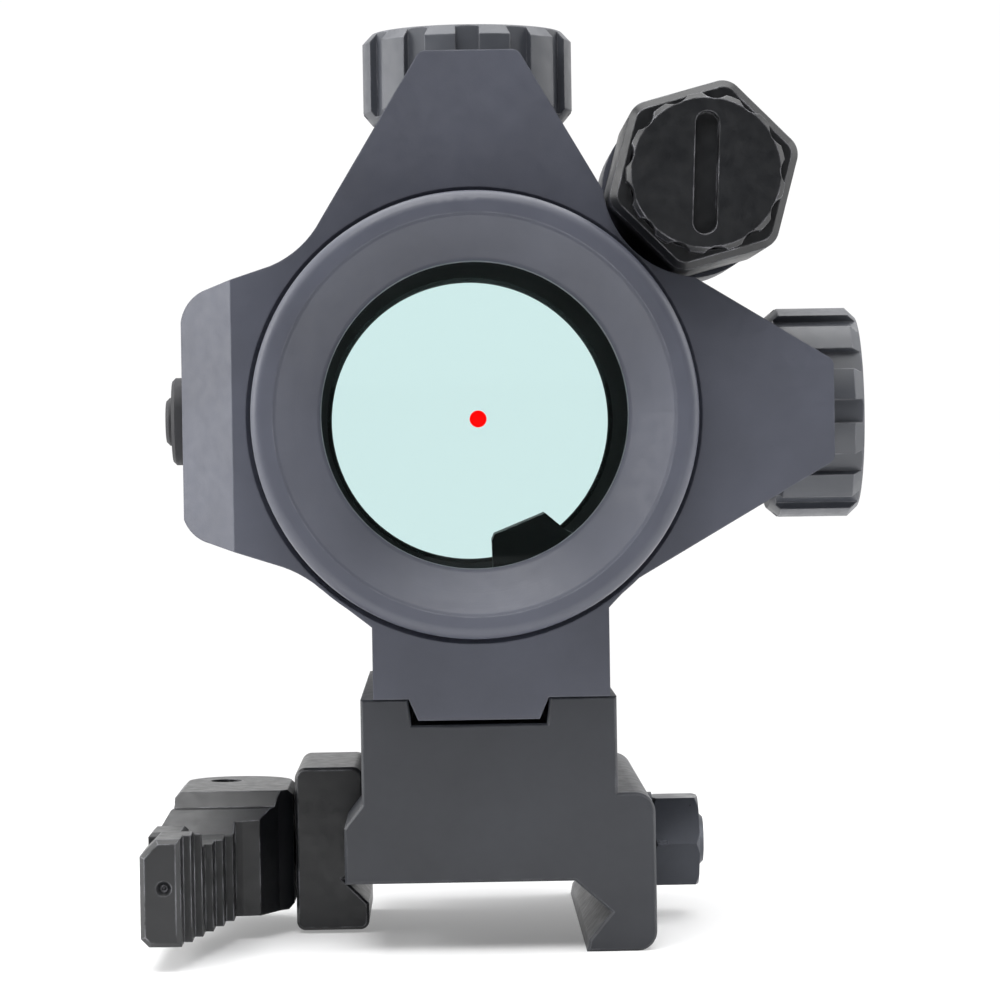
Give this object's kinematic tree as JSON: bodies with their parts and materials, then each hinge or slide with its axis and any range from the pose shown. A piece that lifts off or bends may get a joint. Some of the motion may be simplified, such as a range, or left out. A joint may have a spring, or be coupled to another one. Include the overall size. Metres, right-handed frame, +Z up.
{
  "type": "red dot finder",
  "caption": "Tube red dot sight with guarded turret caps, a side battery tube and push buttons, on a riser with a quick-detach lever clamp for an accessory rail.",
  "frame": {"origin": "centre of the riser's flat face that rests on the rail", "axes": "+Y forward along the optical axis, +Z up, +X to the user's right"},
  "size_m": [0.0634, 0.0752, 0.0811],
  "materials": {
    "anodised_body": "matte blue-black hard anodised",
    "black_anodised": "matte black anodised",
    "mount_anodised": "matte dark grey anodised",
    "baffle_black": "flat black, non-reflecting",
    "cap_anodised": "satin charcoal anodised",
    "black_plastic": "moulded, matte",
    "red_led": "clear red epoxy",
    "coated_glass": "multi-coated, faint cyan",
    "rubber_black": "moulded rubber",
    "brass": "turned",
    "turned_steel": "turned steel",
    "cell_steel": "nickel-plated",
    "spring_steel": "spring steel",
    "dark_steel": "blackened steel",
    "board_green": "solder-masked board"
  },
  "bodies": {
    "housing": {"main_housing": "anodised_body", "eyepiece_ring": "anodised_body", "front_bezel": "anodised_body", "riser_base": "mount_anodised", "control_cover": "anodised_body", "battery_housing": "black_anodised", "ocular_retainer": "baffle_black", "ocular_lens": "coated_glass", "eyepiece_oring": "rubber_black", "front_oring": "rubber_black", "cover_gasket": "rubber_black", "button_pad": "rubber_black", "elevation_bushing": "brass", "windage_bushing": "brass", "battery_contact": "brass", "battery_cell": "cell_steel", "battery_spring": "spring_steel", "bias_spring": "spring_steel", "jaw_springs": "spring_steel", "circuit_board": "board_green", "dome_switches": "spring_steel", "driver_chip": "black_plastic", "cover_screws": "dark_steel", "riser_screws": "dark_steel", "cross_bolt": "dark_steel", "bolt_washer": "dark_steel", "bolt_nut": "dark_steel"},
    "gimbal": {"gimbal_ring": "baffle_black"},
    "aiming_tube": {"inner_tube": "baffle_black", "objective_lens": "coated_glass", "objective_retainer": "baffle_black", "emitter_housing": "black_plastic", "emitter_led": "red_led"},
    "elevation_dial": {"elevation_dial": "turned_steel"},
    "elevation_plunger": {"elevation_plunger": "turned_steel"},
    "windage_dial": {"windage_dial": "turned_steel"},
    "windage_plunger": {"windage_plunger": "turned_steel"},
    "elevation_cap_seal": {"elevation_cap_oring": "rubber_black"},
    "elevation_cap": {"elevation_cap": "cap_anodised"},
    "windage_cap_seal": {"windage_cap_oring": "rubber_black"},
    "windage_cap": {"windage_cap": "cap_anodised"},
    "battery_cap_seal": {"battery_cap_oring": "rubber_black"},
    "battery_cap": {"battery_cap": "black_anodised"},
    "plus_button": {"plus_button": "rubber_black"},
    "minus_button": {"minus_button": "rubber_black"},
    "clamp_jaw": {"clamp_jaw": "black_anodised"},
    "qd_lever": {"qd_lever": "black_anodised", "lever_pin": "dark_steel", "tab_spring": "spring_steel"},
    "lock_tab": {"lock_tab": "black_anodised"}
  },
  "joints": [
    {"name": "elevation_dial_turn", "type": "hinge", "parent": "housing", "child": "elevation_dial", "pos_m": [0, 0, 0.07], "axis": [0, 0, 1], "range_deg": [-300, 300]},
    {"name": "elevation_plunger_travel", "type": "slide", "parent": "housing", "child": "elevation_plunger", "axis": [0, 0, 1], "range_m": [-0.00043, 0.00043]},
    {"name": "windage_dial_turn", "type": "hinge", "parent": "housing", "child": "windage_dial", "pos_m": [0.03, 0, 0.04], "axis": [1, 0, 0], "range_deg": [-300, 300]},
    {"name": "windage_plunger_travel", "type": "slide", "parent": "housing", "child": "windage_plunger", "axis": [1, 0, 0], "range_m": [-0.00043, 0.00043]},
    {"name": "windage_tilt", "type": "hinge", "parent": "housing", "child": "gimbal", "pos_m": [0, 0.0275, 0.04], "axis": [0, 0, 1], "range_deg": [-0.86, 0.86]},
    {"name": "elevation_tilt", "type": "hinge", "parent": "gimbal", "child": "aiming_tube", "pos_m": [0, 0.0275, 0.04], "axis": [1, 0, 0], "range_deg": [-0.86, 0.86], "deforming": ["bias_spring"]},
    {"name": "elevation_cap_lift", "type": "slide", "parent": "housing", "child": "elevation_cap_seal", "axis": [0, 0, 1], "range_m": [0, 0.00359]},
    {"name": "elevation_cap_turn", "type": "hinge", "parent": "elevation_cap_seal", "child": "elevation_cap", "pos_m": [0, 0, 0.07], "axis": [0, 0, 1], "range_deg": [0, 1440]},
    {"name": "windage_cap_lift", "type": "slide", "parent": "housing", "child": "windage_cap_seal", "axis": [1, 0, 0], "range_m": [0, 0.00359]},
    {"name": "windage_cap_turn", "type": "hinge", "parent": "windage_cap_seal", "child": "windage_cap", "pos_m": [0.03, 0, 0.04], "axis": [1, 0, 0], "range_deg": [0, 1440]},
    {"name": "battery_cap_lift", "type": "slide", "parent": "housing", "child": "battery_cap_seal", "axis": [0, -1, 0], "range_m": [0, 0.00399]},
    {"name": "battery_cap_turn", "type": "hinge", "parent": "battery_cap_seal", "child": "battery_cap", "pos_m": [0.0197, -0.026, 0.06], "axis": [0, -1, 0], "range_deg": [0, 1800]},
    {"name": "plus_button_press", "type": "slide", "parent": "housing", "child": "plus_button", "axis": [1, 0, 0], "range_m": [0, 0.0004], "stiffness_N_per_m": 600, "springref_m": -0.001},
    {"name": "minus_button_press", "type": "slide", "parent": "housing", "child": "minus_button", "axis": [1, 0, 0], "range_m": [0, 0.0004], "stiffness_N_per_m": 600, "springref_m": -0.001},
    {"name": "qd_lever_swing", "type": "hinge", "parent": "housing", "child": "qd_lever", "pos_m": [-0.0232, 0.0035, 0.001], "axis": [0, 0, -1], "range_deg": [0, 110]},
    {"name": "clamp_jaw_slide", "type": "slide", "parent": "housing", "child": "clamp_jaw", "axis": [-1, 0, 0], "range_m": [0, 0.0018]},
    {"name": "lock_tab_press", "type": "slide", "parent": "qd_lever", "child": "lock_tab", "axis": [0, 0, -1], "range_m": [0, 0.001], "stiffness_N_per_m": 300, "springref_m": -0.002, "deforming": ["tab_spring"]}
  ],
  "couplings": [
    {"joint": "elevation_dial_turn", "follows": "elevation_tilt", "ratio": -345.58},
    {"joint": "elevation_plunger_travel", "follows": "elevation_tilt", "m_per_rad": -0.0275},
    {"joint": "windage_dial_turn", "follows": "windage_tilt", "ratio": 345.58},
    {"joint": "windage_plunger_travel", "follows": "windage_tilt", "m_per_rad": 0.0275},
    {"joint": "elevation_cap_turn", "follows": "elevation_cap_lift", "rad_per_m": 6981.3},
    {"joint": "windage_cap_turn", "follows": "windage_cap_lift", "rad_per_m": 6981.3},
    {"joint": "battery_cap_turn", "follows": "battery_cap_lift", "rad_per_m": 7854},
    {"joint": "clamp_jaw_slide", "follows": "qd_lever_swing", "m_per_rad": 0.00088548}
  ]
}
